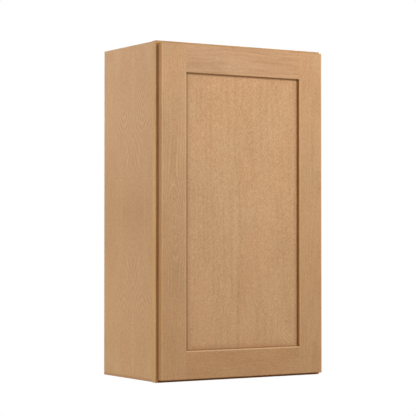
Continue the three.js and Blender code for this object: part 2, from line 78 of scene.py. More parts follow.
class Graph:
    """A material's node tree, with one short call for each kind of node that the looks use."""

    def __init__(self, name):
        self.material = bpy.data.materials.new(name)
        self.material.use_nodes = True
        self.tree = self.material.node_tree
        self.tree.nodes.clear()

    def add(self, kind, **settings):
        node = self.tree.nodes.new(kind)
        for key, value in settings.items():
            setattr(node, key, value)
        return node

    def feed(self, socket, value):
        if isinstance(value, bpy.types.NodeSocket):
            self.tree.links.new(value, socket)
        else:
            socket.default_value = value

    def math(self, operation, *values):
        node = self.add("ShaderNodeMath", operation=operation)
        for socket, value in zip(node.inputs, values):
            self.feed(socket, value)
        return node.outputs[0]

    def vector_math(self, operation, *values):
        node = self.add("ShaderNodeVectorMath", operation=operation)
        for socket, value in zip(node.inputs, values):
            self.feed(socket, value)
        return node.outputs[0]

    def combine(self, x, y, z):
        node = self.add("ShaderNodeCombineXYZ")
        for socket, value in zip(node.inputs, (x, y, z)):
            self.feed(socket, value)
        return node.outputs[0]

    def separate(self, vector):
        node = self.add("ShaderNodeSeparateXYZ")
        self.feed(node.inputs[0], vector)
        return node.outputs

    def object_place(self):
        return self.add("ShaderNodeTexCoord").outputs["Object"]

    def object_axes(self, middle=(0.0, 0.0, 0.0)):
        """The place's x, y and z, measured from a middle."""
        return self.separate(self.vector_math("SUBTRACT", self.object_place(), tuple(middle)))

    def object_normal(self):
        return self.add("ShaderNodeTexCoord").outputs["Normal"]

    def length(self, aside, up):
        """How far a place is from the middle, from how far it is aside and how far up."""
        squares = (self.math("POWER", value, 2.0) for value in (aside, up))
        return self.math("SQRT", self.math("ADD", *squares))

    def noise(self, place, per_metre, detail=2.0, roughness=0.5):
        """Noise from 0 to 1, with a count of cells per metre along each of the place's axes."""
        node = self.add("ShaderNodeTexNoise")
        self.feed(node.inputs["Vector"], self.vector_math("MULTIPLY", place, per_metre))
        node.inputs["Scale"].default_value = 1.0
        node.inputs["Detail"].default_value = detail
        node.inputs["Roughness"].default_value = roughness
        return node.outputs["Fac"]

    def swing(self, noise, reach, middle=0.0):
        """Noise from 0 to 1 as a number that swings up to a reach to each side of a middle."""
        return self.math("MULTIPLY_ADD", noise, 2 * reach, middle - reach)

    def remap(self, value, low, high, to_low=0.0, to_high=1.0, smooth=False):
        """A value between low and high as one between two others, and held to them past those."""
        node = self.add("ShaderNodeMapRange", clamp=True)
        node.interpolation_type = "SMOOTHSTEP" if smooth else "LINEAR"
        for socket, number in zip(node.inputs, (value, low, high, to_low, to_high)):
            self.feed(socket, number)
        return node.outputs[0]

    def mix(self, share, first, second, blend="MIX"):
        node = self.add("ShaderNodeMix", data_type="RGBA", blend_type=blend)
        self.feed(node.inputs[0], share)
        self.feed(node.inputs[6], first)
        self.feed(node.inputs[7], second)
        return node.outputs[2]

    def bump(self, height, depth):
        """The normal of a surface whose height, from 0 to 1, is worth a depth in metres."""
        node = self.add("ShaderNodeBump")
        node.inputs["Strength"].default_value = 1.0
        node.inputs["Distance"].default_value = depth
        self.feed(node.inputs["Height"], height)
        return node.outputs["Normal"]

    def finish(self, color, roughness, normal=None, **others):
        """The finished material. The others go to the shader's sockets of those names."""
        shader = self.add("ShaderNodeBsdfPrincipled")
        self.feed(shader.inputs["Base Color"], color)
        self.feed(shader.inputs["Roughness"], roughness)
        if normal is not None:
            self.feed(shader.inputs["Normal"], normal)
        for socket_name, value in others.items():
            self.feed(shader.inputs[socket_name.replace("_", " ")], value)
        output = self.add("ShaderNodeOutputMaterial")
        self.tree.links.new(shader.outputs[0], output.inputs["Surface"])
        return self.material


def linear(red, green, blue):
    """A colour given as it shows on a screen, from 0 to 255, as linear light."""
    values = [v / 255 for v in (red, green, blue)]
    curve = [v / 12.92 if v <= 0.04045 else ((v + 0.055) / 1.055) ** 2.4 for v in values]
    return (*curve, 1.0)


# ---- Wood -------------------------------------------------------------------------------------

# What each axis of a board's own grain space follows: across the face, through it, along it.
UPRIGHT = ("x", "y", "z")
LEVEL = ("z", "y", "x")
SIDE = ("y", "x", "z")
SHELF = ("y", "z", "x")

# Colours as they show on a screen, from 0 to 255: the light and dark of the grain, its ends and,
# on stained wood, a dark colour for painted shade and for the mineral streak, a light colour for
# painted highlights and for light lines in the grain, a warm colour for painted shade towards the
# door's foot, and painted warm bounce light from the wood beside it. Contrast is how strongly the
# grain shows, and the last two values are the coat's, with its roughness where it is smoothest.
STAINED = {
    "light": (203, 162, 121),
    "dark": (156, 114, 72),
    "end": (126, 86, 47),
    "painted_shade_and_mineral": (110, 62, 16),
    "highlight_and_light_grain": (226, 187, 144),
    "painted_foot_shade": (185, 130, 68),
    "painted_bounce_light": (226, 152, 90),
    "contrast": 1.0,
    "roughness": 0.5,
    "specular": 0.18,
}
RAW = {
    "light": (226, 201, 162),
    "dark": (192, 158, 114),
    "end": (176, 140, 98),
    "contrast": 1.0,
    "roughness": 0.7,
    "specular": 0.18,
}
NATURAL = {
    "light": (228, 203, 163),
    "dark": (196, 164, 120),
    "end": (186, 152, 108),
    "contrast": 0.9,
    "roughness": 0.38,
    "specular": 0.18,
}
DULL = {"specular": 0.06}

# The wood's colour is multiplied by these, and by what lies between them, from region to region.
RUDDY = (1.012, 0.99, 0.98, 1.0)
OLIVE = (0.99, 1.005, 1.01, 1.0)


def toned(palette, red, green, blue):
    """The palette with its face grain lightened, or darkened, by a number for each colour."""
    by = (red, green, blue)
    faces = {part: tuple(v + d for v, d in zip(palette[part], by)) for part in ("light", "dark")}
    return {**palette, **faces}


# The same stain on the sides and the door's panel, top rail and bottom rail, tinted warmer as
# painted shade on the faces round the panel and on the door's outer edges, and on the face frame.
STAINED_SIDE = toned(STAINED, 1, 0, -3)
STAINED_PANEL = toned(STAINED, 6, 6, 6)
STAINED_HEAD = toned(STAINED, -4, -3, 0)
STAINED_FOOT = toned(STAINED, -3, -6, -8)
STAINED_RECESS_SHADE = toned(STAINED, 4, -4, -22)
STAINED_EDGE_SHADE = {**toned(STAINED, 2, -3, -9), **DULL}
STAINED_FRAME = {**toned(STAINED, 8, 5, -2), **DULL}


def board_rings(g, place, grain, draw):
    """Growth rings of a sawn board: cylinders round a wandering pith behind its face."""
    across, through, along = grain
    pith_across = draw.uniform(-0.03, 0.03)
    pith_depth = draw.uniform(0.05, 0.09)
    lean = draw.uniform(-0.05, 0.05)
    wander = g.noise(place, (2.0, 2.0, 1.6))
    u = g.math("SUBTRACT", across, g.swing(wander, 0.035, pith_across))
    v = g.math("ADD", through, g.math("MULTIPLY_ADD", along, lean, pith_depth))
    return g.length(u, v)


# Where an eye in the grain starts and ends, from the board's middle, how wide it is to each side,
# and how far from half height its rings start to fade and are faint.
EYE_START = -0.17
EYE_END = 0.12
EYE_HALF_WIDTH = 0.024
EYE_FADES = 0.12
EYE_FAINT = 0.26


def eye_rings(g, place, grain, draw):
    """Growth rings of a board sawn through a dip in them: nested points round one eye."""
    across, through, along = grain
    wander = g.noise(place, (2.0, 2.0, 6.0))
    u = g.math("SUBTRACT", across, g.swing(wander, 0.01))
    v = g.remap(along, EYE_START, EYE_END, -EYE_HALF_WIDTH, EYE_HALF_WIDTH, smooth=True)
    return g.length(u, v)


# The side panels' veneer: where its two halves meet, from the panel's middle, how far from there
# its arches stand, and how far from half height the grain bends and the arches start.
SEAM = -0.03
COLUMN = 0.053
BEND = 0.1
ARCHES = 0.22


def folded(g, grain):
    """The grain space of one leaf of veneer whose mirror images make the other three."""
    across, through, along = grain
    return (
        g.math("ABSOLUTE", g.math("SUBTRACT", across, SEAM)),
        through,
        g.math("ABSOLUTE", along),
    )


def matched_rings(g, place, grain, draw):
    """Growth rings of a leaf of veneer with a column of arches that point at half height."""
    across, through, along = grain
    wander = g.noise(g.combine(0.0, 0.0, along), (3.0, 3.0, 12.0))
    u = g.math("SUBTRACT", across, g.swing(wander, 0.015, COLUMN))
    narrow = g.remap(along, ARCHES, ARCHES + 0.08, 2.4, 4.5, smooth=True)
    side = g.math("MULTIPLY", g.math("POWER", g.math("ABSOLUTE", u), 1.2), narrow)
    bent = g.math("MAXIMUM", g.math("SUBTRACT", along, BEND), 0.0)
    arched = g.math("MAXIMUM", g.math("SUBTRACT", along, ARCHES), 0.0)
    uneven = g.noise(place, (12.0, 12.0, 40.0))
    rings = g.math("MULTIPLY_ADD", uneven, 0.016, side)
    rings = g.math("MULTIPLY_ADD", bent, -0.8, rings)
    return g.math("MULTIPLY_ADD", arched, -0.5, rings)


def everywhere(g, grain):
    """The rings of a plain board show all over it."""
    return 1.0


def round_eye(g, grain):
    """The rings of an eye fade towards both ends of its board."""
    across, through, along = grain
    return g.remap(g.math("ABSOLUTE", along), EYE_FADES, EYE_FAINT, 1.0, 0.25, smooth=True)


def in_arches(g, grain):
    """The rings of the matched veneer show in its arches and, from its seam to the column of
    arches, in its bend."""
    across, through, along = grain
    arched = g.math(
        "MULTIPLY",
        g.remap(along, ARCHES - 0.02, ARCHES + 0.02, smooth=True),
        g.remap(along, ARCHES + 0.1, ARCHES + 0.18, 1.0, 0.4, smooth=True),
    )
    leaning = g.math(
        "MULTIPLY",
        g.remap(along, BEND, BEND + 0.03, 0.0, 0.7, smooth=True),
        g.remap(across, COLUMN - 0.02, COLUMN, 1.0, 0.1),
    )
    return g.math("MAXIMUM", arched, leaning)


def even(g, along):
    """The wood keeps its shade from end to end."""
    return 0.0


def darker_upward(g, along):
    """The wood gets darker towards its top."""
    return g.math("MULTIPLY", along, 0.24)


def darker_in_middle(g, along):
    """The wood gets darker towards half height."""
    return g.remap(along, 0.02, 0.26, 0.18, 0.0, smooth=True)


# A figure is how the grain is drawn: its growth rings, how far apart they are, where they show,
# how far the grain curls, what its shade gains along it, and how strongly each layer shows. The
# rings' light lines show between them, and their tremble is how far they waver, in ring widths.
PLAIN = {
    "growth": board_rings,
    "ring_width": 0.0055,
    "shown": everywhere,
    "curl": 0.0,
    "drift": even,
    "rings": 0.28,
    "lines": 0.0,
    "tremble": 0.9,
    "streaks": 0.26,
    "strands": 0.42,
    "fibres": 1.15,
    "clouds": 0.45,
}
SMOOTH = {**PLAIN, "rings": 0.14, "streaks": 0.14, "strands": 0.38}
STREAKED = {**PLAIN, "rings": 0.2, "streaks": 0.72, "strands": 0.5, "fibres": 1.2}
FINE = {**PLAIN, "rings": 0.1, "streaks": 0.12, "strands": 0.34, "fibres": 1.3}
FLECKED = {
    **PLAIN,
    "ring_width": 0.012,
    "curl": 0.008,
    "drift": darker_upward,
    "rings": 0.14,
    "streaks": 0.16,
    "strands": 0.22,
    "fibres": 1.7,
}
EYED = {
    **PLAIN,
    "growth": eye_rings,
    "shown": round_eye,
    "rings": 0.2,
    "lines": 0.36,
    "tremble": 0.65,
    "streaks": 0.14,
}
MATCHED = {
    **PLAIN,
    "growth": matched_rings,
    "ring_width": 0.027,
    "shown": in_arches,
    "drift": darker_in_middle,
    "rings": 0.27,
    "lines": 0.44,
    "tremble": 0.5,
    "streaks": 0.25,
    "fibres": 1.25,
}

# How far from its light colour, 0, to its dark colour, 1, wood is where no layer shows.
BASE_SHADE = 0.34


def drifting_hue(g, place, color):
    """The colour, a little ruddier in some regions of the wood and more olive in others."""
    region = g.noise(place, (14.0, 14.0, 5.0))
    hue = g.mix(g.remap(region, 0.35, 0.65, smooth=True), OLIVE, RUDDY)
    return g.mix(1.0, color, hue, "MULTIPLY")


def wandering(g, place, curl):
    """The place, moved aside as the grain wanders and, where it curls, ripples."""
    aside = g.swing(g.noise(place, (7.0, 7.0, 6.0)), 0.01)
    if curl:
        ripple = g.noise(place, (30.0, 30.0, 20.0))
        aside = g.math("ADD", aside, g.swing(ripple, curl / 2))
    return g.vector_math("ADD", place, g.combine(aside, 0.0, 0.0))


def ring_shade(g, place, grain, figure, contrast, draw):
    """The shade that the growth rings leave, with the figure's light lines between them."""
    radius = figure["growth"](g, place, grain, draw)
    shown = figure["shown"](g, grain)
    tremble = g.noise(place, (60.0, 60.0, 9.0))
    count = g.math("DIVIDE", radius, figure["ring_width"])
    count = g.math("ADD", count, g.math("MULTIPLY", tremble, figure["tremble"]))
    phase = g.math("FRACT", count)
    late = g.math("MULTIPLY", g.remap(phase, 0.35, 0.9, smooth=True), g.remap(phase, 1.0, 0.92))
    patch = g.noise(place, (14.0, 14.0, 2.2))
    late = g.math("MULTIPLY", late, g.remap(patch, 0.3, 0.7, 0.25, 1.0))
    late = g.math("MULTIPLY", late, shown)
    shade = g.math("MULTIPLY_ADD", late, figure["rings"] * contrast, BASE_SHADE)
    if not figure["lines"]:
        return shade
    off_line = g.math("ABSOLUTE", g.math("SUBTRACT", phase, 0.16))
    line = g.math("MULTIPLY", g.remap(off_line, 0.02, 0.14, 1.0, 0.0), shown)
    line = g.math("MULTIPLY", line, g.remap(patch, 0.4, 0.6, 0.25, 1.0))
    return g.math("MULTIPLY_ADD", line, -figure["lines"], shade)


def end_grain(g, place, axis):
    """The share of end grain: full where a face looks along the grain, broken by its pores."""
    facing = g.separate(g.object_normal())["xyz".index(axis)]
    ends = g.remap(g.math("ABSOLUTE", facing), 0.6, 0.9, smooth=True)
    porous = g.noise(place, (700.0, 700.0, 700.0))
    return g.math("MULTIPLY", ends, g.remap(porous, 0.2, 0.8, 0.6, 1.0))


def wood(name, axes, middle, palette, seed, figure=PLAIN, touches=()):
    """Maple under a clear satin coat, with its grain along the last of the axes. Each touch is a
    colour of the palette and what makes, from the graph, the share of the wood that it covers."""
    g = Graph(name)
    draw = random.Random(seed)
    shift = tuple(draw.uniform(-20, 20) for _ in range(3))
    sockets = dict(zip("xyz", g.object_axes(middle)))
    grain = [sockets[axis] for axis in axes]
    if figure is MATCHED:
        grain = folded(g, grain)
    place = wandering(g, g.vector_math("ADD", g.combine(*grain), shift), figure["curl"])

    streak = g.noise(place, (150.0, 150.0, 7.0), 2.0, 0.6)
    strand = g.noise(place, (420.0, 420.0, 42.0), 2.0, 0.6)
    fibre = g.noise(place, (640.0, 640.0, 230.0), 1.0, 0.6)
    cloud = g.noise(place, (19.0, 19.0, 7.0), 3.0, 0.55)
    contrast = palette["contrast"]
    shade = ring_shade(g, place, grain, figure, contrast, draw)
    shade = g.math("ADD", shade, figure["drift"](g, grain[2]))
    for layer, strength in (
        (streak, figure["streaks"]),
        (strand, figure["strands"]),
        (fibre, figure["fibres"]),
        (cloud, figure["clouds"]),
    ):
        centred = g.math("SUBTRACT", layer, 0.5)
        shade = g.math("MULTIPLY_ADD", centred, strength * contrast, shade)

    light, dark, end = (linear(*palette[part]) for part in ("light", "dark", "end"))
    color = drifting_hue(g, place, g.mix(g.remap(shade, -0.1, 1.1), light, dark))
    color = g.mix(end_grain(g, place, axes[2]), color, end)
    for part, share in touches:
        color = g.mix(share(g), color, linear(*palette[part]))

    relief = g.math("ADD", g.math("MULTIPLY", fibre, 0.5), g.math("MULTIPLY", strand, 0.5))
    smoothest = palette["roughness"]
    roughness = g.remap(strand, 0.2, 0.8, smoothest, smoothest + 0.14)
    normal = g.bump(relief, 0.04 * MM)
    return g.finish(color, roughness, normal, Specular_IOR_Level=palette["specular"])


# Plies of equal thickness, seven to a half-inch panel, counted from its middle.
PLIES_OF_PANEL = 7
PLY = 12.7 * MM / PLIES_OF_PANEL


def plywood_edge(name, axis, middle):
    """The edge of a plywood panel, whose plies show their grain end on and along by turns."""
    g = Graph(name)
    place = g.vector_math("SUBTRACT", g.object_place(), tuple(middle))
    through = g.separate(place)["xyz".index(axis)]
    waver = g.noise(place, (9.0, 9.0, 9.0))
    level = g.math("MULTIPLY", through, 1 / PLY)
    level = g.math("ADD", level, g.math("MULTIPLY", waver, 0.25))
    level = g.math("ADD", level, PLIES_OF_PANEL / 2)
    cross = g.math("PINGPONG", g.math("ADD", level, 0.5), 1.0)
    cross = g.remap(cross, 0.42, 0.58)
    phase = g.math("FRACT", level)
    glue = g.math("MINIMUM", phase, g.math("SUBTRACT", 1.0, phase))
    glue = g.remap(glue, 0.0, 0.09, 1.0, 0.0)
    grit = g.noise(place, (900.0, 900.0, 900.0), 3.0, 0.6)
    streak = g.noise(place, (300.0, 300.0, 60.0))
    light = g.mix(streak, linear(218, 190, 148), linear(200, 168, 124))
    dark = g.mix(grit, linear(186, 150, 106), linear(150, 114, 74))
    color = g.mix(cross, light, dark)
    color = g.mix(g.math("MULTIPLY", glue, 0.7), color, linear(112, 80, 50))
    return g.finish(color, 0.78, g.bump(grit, 0.12 * MM), Specular_IOR_Level=0.2)


# ---- Metal and plastic ------------------------------------------------------------------------


def nickel(name):
    """Bright nickel plate with faint polishing lines, fine pits and a little haze."""
    g = Graph(name)
    off_origin = (3.1, 1.7, 0.9)
    place = g.vector_math("ADD", g.object_place(), off_origin)
    haze = g.noise(place, (90.0, 90.0, 90.0), 3.0)
    lines = g.noise(place, (2400.0, 2400.0, 160.0))
    pits = g.noise(place, (1500.0, 1500.0, 1500.0))
    color = g.mix(haze, linear(206, 204, 198), linear(184, 181, 174))
    roughness = g.math("MULTIPLY_ADD", haze, 0.16, 0.2)
    roughness = g.math("MULTIPLY_ADD", lines, 0.06, roughness)
    relief = g.math("ADD", g.math("MULTIPLY", lines, 0.5), g.math("MULTIPLY", pits, 0.5))
    return g.finish(color, roughness, g.bump(relief, 0.01 * MM), Metallic=1.0)


def clear_plastic(name):
    """Soft clear plastic with a trace of cloudiness."""
    g = Graph(name)
    place = g.object_place()
    cloud = g.noise(place, (500.0, 500.0, 500.0))
    color = g.mix(cloud, linear(244, 246, 244), linear(228, 232, 229))
    roughness = g.remap(cloud, 0.2, 0.8, 0.12, 0.24)
    normal = g.bump(cloud, 0.01 * MM)
    return g.finish(color, roughness, normal, Transmission_Weight=0.75, IOR=1.46)


# ---- Pieces from the CAD shapes ---------------------------------------------------------------

# The sides of a node's box, each as the axis that it faces along and its sign.
FACES = {
    "left": (0, -1),
    "right": (0, 1),
    "front": (1, -1),
    "back": (1, 1),
    "low": (2, -1),
    "high": (2, 1),
}
FLAT = math.radians(1)  # faces that meet at less are one
SHARP = math.radians(40)  # faces that meet at less are shaded smoothly
ON_BOX = 0.02 * MM  # a face nearer than this to a side of the box lies on it
CAD_GAP = 0.3 * MM  # what the CAD leaves between two glued faces

# Radii of eased edges, from a rounded corner to a glued joint.
ROUNDED = 2.2 * MM
EASED = 1.2 * MM
SOFT = 0.5 * MM
SANDED = 0.3 * MM
CRISP = 0.2 * MM
PRESSED = 0.15 * MM
JOINT = 0.06 * MM
HAIRLINE = 0.04 * MM


def side_of(face, low, high):
    """The side of the box that a face lies on, or None for a face inside the box."""
    middle = face.calc_center_median()
    for name, (axis, sign) in FACES.items():
        outer = high[axis] if sign > 0 else low[axis]
        if face.normal[axis] * sign > 0.999 and abs(middle[axis] - outer) < ON_BOX:
            return name
    return None


def add_piece(name, work, materials):
    """An object of the scene with the shape of a bmesh, which is freed."""
    mesh = bpy.data.meshes.new(f"{name}_shape")
    work.to_mesh(mesh)
    work.free()
    for material in materials:
        mesh.materials.append(material)
    piece = bpy.data.objects.new(f"{name}_shown", mesh)
    bpy.context.scene.collection.objects.link(piece)
    return piece


def weigh_edges(work, sides, radii, other_edges, widest):
    """Gives each sharp edge its bevel weight: its radius as a share of the widest one."""
    weight = work.edges.layers.float.new("bevel_weight_edge")
    names = list(FACES)
    for edge in work.edges:
        if len(edge.link_faces) != 2 or edge.calc_face_angle() < SHARP:
            continue
        edge.smooth = False
        pair = sorted((sides[face] for face in edge.link_faces if sides[face]), key=names.index)
        radius = radii.get(tuple(pair), other_edges) if edge.is_convex else 0.0
        edge[weight] = radius / widest


def eased(node, materials, radii, other_edges=0.0, segments=3, closing=()):
    """A piece with a CAD node's shape. Materials and edge radii go by the sides of its box:
    materials maps a side to a material, with None for all others, and radii maps two sides, in
    the order of FACES, to the radius of the edge between them. Each closing is an axis, where a
    face lies on it and where it goes, to close a glued joint to a hairline."""
    low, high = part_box(node)
    work = bmesh.new()
    work.from_mesh(frame["nodes"][node].data)
    bmesh.ops.remove_doubles(work, verts=work.verts, dist=0.001 * MM)
    bmesh.ops.dissolve_limit(work, angle_limit=FLAT, verts=work.verts, edges=work.edges)
    for axis, before, after in closing:
        for vertex in work.verts:
            if abs(vertex.co[axis] - before) < ON_BOX:
                vertex.co[axis] = after
    work.normal_update()

    order = list(dict.fromkeys(materials.values()))
    sides = {face: side_of(face, low, high) for face in work.faces}
    for face, side in sides.items():
        face.material_index = order.index(materials.get(side, materials[None]))
        face.smooth = True

    widest = max([*radii.values(), other_edges, 0.01 * MM])
    weigh_edges(work, sides, radii, other_edges, widest)

    piece = add_piece(node, work, order)
    bevel = piece.modifiers.new("eased edges", "BEVEL")
    bevel.limit_method = "WEIGHT"
    bevel.width = widest
    bevel.segments = segments
    bevel.use_clamp_overlap = False
    bevel.harden_normals = True
    return piece


def settle(piece, node):
    """The piece stands for a CAD node and moves with its body."""
    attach(piece, body_of_node[node])
    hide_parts(node)
    return piece


def middle_of(node):
    low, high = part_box(node)
    return (low + high) / 2


# ---- The face frame and the door --------------------------------------------------------------

# Where the door and its opening lie. Both are as wide to the left of the middle as to the right.
stile_low, stile_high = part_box("door_stile_right")
DOOR_SIDE = stile_high.x
DOOR_FRONT = stile_low.y
DOOR_BACK = stile_high.y
DOOR_FOOT = stile_low.z
DOOR_HEAD = stile_high.z
OPENING_SIDE = stile_low.x
OPENING_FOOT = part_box("door_rail_bottom")[1].z
OPENING_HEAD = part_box("door_rail_top")[0].z
OPENING_MIDDLE = (OPENING_FOOT + OPENING_HEAD) / 2
HALF_OPENING = (OPENING_HEAD - OPENING_FOOT) / 2
CABINET_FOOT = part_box("frame_rail_bottom")[0].z


def around(radius, *sides):
    """The same radius for every edge of the box that touches one of the sides."""
    names = list(FACES)
    pairs = [(a, b) for i, a in enumerate(names) for b in names[i + 1 :]]
    return {pair: radius for pair in pairs if set(pair) & set(sides)}


def shoulders(stile):
    """Brings the ends of a rail up to its two stiles."""
    inner_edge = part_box(stile)[0].x
    ends = ((-1, -inner_edge), (1, inner_edge))
    return [(0, at - sign * CAD_GAP, at - sign * HAIRLINE) for sign, at in ends]


def member(node, axes, seed, radii, palette, figure=PLAIN, closing=(), touches=(), tones=()):
    """A solid member of the face frame or the door. The tones are sides of its box, each with a
    palette of its own."""
    middle = middle_of(node)
    name = f"stained maple {node}"
    looks = {None: wood(name, axes, middle, palette, seed, figure, touches)}
    for side, tone in dict(tones).items():
        looks[side] = wood(f"{name} {side}", axes, middle, tone, seed, touches=touches)
    settle(eased(node, looks, radii, closing=closing), node)


def painted_shade_at_foot(height, strength, half_width=1.0):
    """Painted shade along the foot of the cabinet, up to a height and out to a half width."""

    def share(g):
        x, y, z = g.object_axes()
        rise = g.math("SUBTRACT", z, CABINET_FOOT)
        along = g.remap(g.math("ABSOLUTE", x), half_width - 1 * MM, half_width, 1.0, 0.0)
        return g.math("MULTIPLY", g.remap(rise, 0.7 * height, height, strength, 0.0), along)

    return share


def painted_bounce_behind_door(g):
    """Painted warm bounce light on the face frame, from the wood of the door in front of it."""
    x, y, z = g.object_axes()
    inside = g.math("SUBTRACT", DOOR_SIDE, g.math("ABSOLUTE", x))
    share = g.remap(inside, -2 * MM, 0.5 * MM, 0.0, 0.3, smooth=True)
    share = g.math("MULTIPLY", share, g.remap(inside, 4 * MM, 20 * MM, 1.0, 0.0, smooth=True))
    return g.math("MULTIPLY", share, g.remap(z, DOOR_HEAD - 3 * MM, DOOR_HEAD, 1.0, 0.0))


def make_face_frame():
    # Painted shadow of the door on the frame below it, and painted warm bounce light beside it.
    shade_below_door = [("painted_shade_and_mineral", painted_shade_at_foot(9 * MM, 0.93, DOOR_SIDE))]
    bounce_and_shade_beside_door = [("painted_bounce_light", painted_bounce_behind_door), *shade_below_door]
    for seed, (side, inner) in enumerate((("left", "right"), ("right", "left")), 11):
        radii = {
            **around(JOINT, inner),
            **around(SOFT, "low", "high"),
            ("front", "low"): HAIRLINE,
            (side, "front"): ROUNDED,
            (side, "back"): HAIRLINE,
        }
        node = f"frame_stile_{side}"
        member(node, UPRIGHT, seed, radii, STAINED_FRAME, touches=bounce_and_shade_beside_door)
    closing = shoulders("frame_stile_right")
    radii = {**around(SOFT, "low", "high"), ("front", "low"): HAIRLINE}
    for seed, (name, touches) in enumerate((("bottom", shade_below_door), ("top", ())), 21):
        node = f"frame_rail_{name}"
        member(node, LEVEL, seed, radii, STAINED_FRAME, closing=closing, touches=touches)


def painted_shade_to_foot(g):
    """Painted shade: a little warmer and darker towards the foot of the door."""
    x, y, z = g.object_axes()
    return g.remap(z, DOOR_FOOT, (DOOR_FOOT + DOOR_HEAD) / 2, 0.15, 0.0)


def on_outer_edge(g, x):
    """All of the door's outer edges, and nothing of its front and back."""
    return g.remap(g.math("ABSOLUTE", x), DOOR_SIDE - 0.4 * MM, DOOR_SIDE - 0.1 * MM)


def painted_shade_towards_back(g):
    """Painted shade on the door's outer edges, most towards its back."""
    x, y, z = g.object_axes()
    deeper = g.remap(y, DOOR_FRONT, DOOR_BACK, 0.08, 0.5)
    return g.math("MULTIPLY", on_outer_edge(g, x), deeper)


def painted_bounce_beside_frame(g):
    """Painted warm bounce light on the door's outer edges, from the face frame, most at their back.
    """
    x, y, z = g.object_axes()
    deeper = g.remap(y, DOOR_FRONT, DOOR_BACK, -0.05, 0.2)
    return g.math("MULTIPLY", on_outer_edge(g, x), deeper)


def painted_shade_along_foot(g):
    """Painted shade along the door's lower front corner."""
    x, y, z = g.object_axes()
    return g.remap(g.math("SUBTRACT", z, DOOR_FOOT), 0.8 * MM, 2.2 * MM, 0.7, 0.0)


def painted_highlight_on_sides(g):
    """A painted highlight along the front corners of the door's outer edges."""
    x, y, z = g.object_axes()
    inside = g.math("SUBTRACT", DOOR_SIDE, g.math("ABSOLUTE", x))
    near = g.remap(inside, 1.2 * MM, 4 * MM, 0.3, 0.0)
    at_front = g.remap(y, DOOR_FRONT + 1 * MM, DOOR_FRONT + 2 * MM, 1.0, 0.0)
    return g.math("MULTIPLY", near, at_front)


def painted_highlight_inside(g):
    """A painted highlight along the corners of the stiles beside the panel."""
    x, y, z = g.object_axes()
    past = g.math("SUBTRACT", g.math("ABSOLUTE", x), OPENING_SIDE)
    near = g.remap(past, 2 * MM, 5 * MM, 0.2, 0.0)
    near = g.math("MULTIPLY", near, g.remap(past, 0.0, 0.2 * MM))
    off = g.math("ABSOLUTE", g.math("SUBTRACT", z, OPENING_MIDDLE))
    return g.math("MULTIPLY", near, g.remap(off, HALF_OPENING - 1 * MM, HALF_OPENING, 1.0, 0.0))


def painted_highlight_on_top(g):
    """A painted highlight along the top corner of the bottom rail."""
    x, y, z = g.object_axes()
    return g.remap(g.math("SUBTRACT", OPENING_FOOT, z), 2 * MM, 3.4 * MM, 0.75, 0.0)


def make_door_stile(side, inner, seed, figure):
    """An upright of the door, on one side of it, with its inner edge towards the panel."""
    radii = {**around(JOINT, inner), **around(EASED, side, "low", "high")}
    # The faces round the panel and the outer edge take the stain tinted warmer as painted shade.
    tones = {inner: STAINED_RECESS_SHADE, side: STAINED_EDGE_SHADE}
    # Painted shade towards the foot and on the outer edges, painted bounce light, and painted
    # highlights.
    touches = (
        ("painted_foot_shade", painted_shade_to_foot),
        ("painted_shade_and_mineral", painted_shade_towards_back),
        ("painted_bounce_light", painted_bounce_beside_frame),
        ("highlight_and_light_grain", painted_highlight_on_sides),
        ("highlight_and_light_grain", painted_highlight_inside),
        ("painted_shade_and_mineral", painted_shade_along_foot),
    )
    node = f"door_stile_{side}"
    member(node, UPRIGHT, seed, radii, STAINED, figure, touches=touches, tones=tones)


def make_door_rail(name, outside, inside, seed, palette, figure, touches=()):
    """A crosspiece of the door, with its inside edge towards the panel."""
    radii = {**around(JOINT, inside), **around(EASED, outside), ("front", "high"): EASED}
    # The face towards the panel takes the stain tinted warmer as painted shade.
    tones = {inside: STAINED_RECESS_SHADE}
    closing = shoulders("door_stile_right")
    member(f"door_rail_{name}", LEVEL, seed, radii, palette, figure, closing, touches, tones)


# The mineral streak in the door's panel, from the panel's middle: how far aside it lies and how
# far it wavers to each side of that, and between what heights it is whole.
STREAK_ASIDE = -13 * MM
STREAK_WAVER = 6 * MM
STREAK_FOOT = -0.36
STREAK_HEAD = -0.2

# The swirl in the panel: its middle, past the opening's right edge and above its foot, and the
# radius that its lines lie round and the distance between them.
SWIRL_PAST = 4 * MM
SWIRL_ABOVE = 77 * MM
SWIRL_RADIUS = 65 * MM
SWIRL_PITCH = 9 * MM


def painted_shade_round_panel(g, x, z):
    """Painted shade where the panel meets the stiles and rails, most at the left."""
    to_left = g.math("SUBTRACT", g.math("ADD", OPENING_SIDE, x), 6 * MM)
    to_right = g.math("SUBTRACT", OPENING_SIDE - 1 * MM, x)
    to_top = g.math("SUBTRACT", HALF_OPENING + 3 * MM, z)
    to_bottom = g.math("ADD", HALF_OPENING + 1.5 * MM, z)
    to_side = g.math("MINIMUM", to_left, to_right)
    nearest = g.math("MINIMUM", to_side, g.math("MINIMUM", to_top, to_bottom))
    edge = g.math("POWER", g.remap(nearest, 0.0, 7 * MM, 0.8, 0.0), 1.7)
    return g.math("ADD", edge, g.remap(nearest, 8 * MM, 16 * MM, 0.09, 0.0))


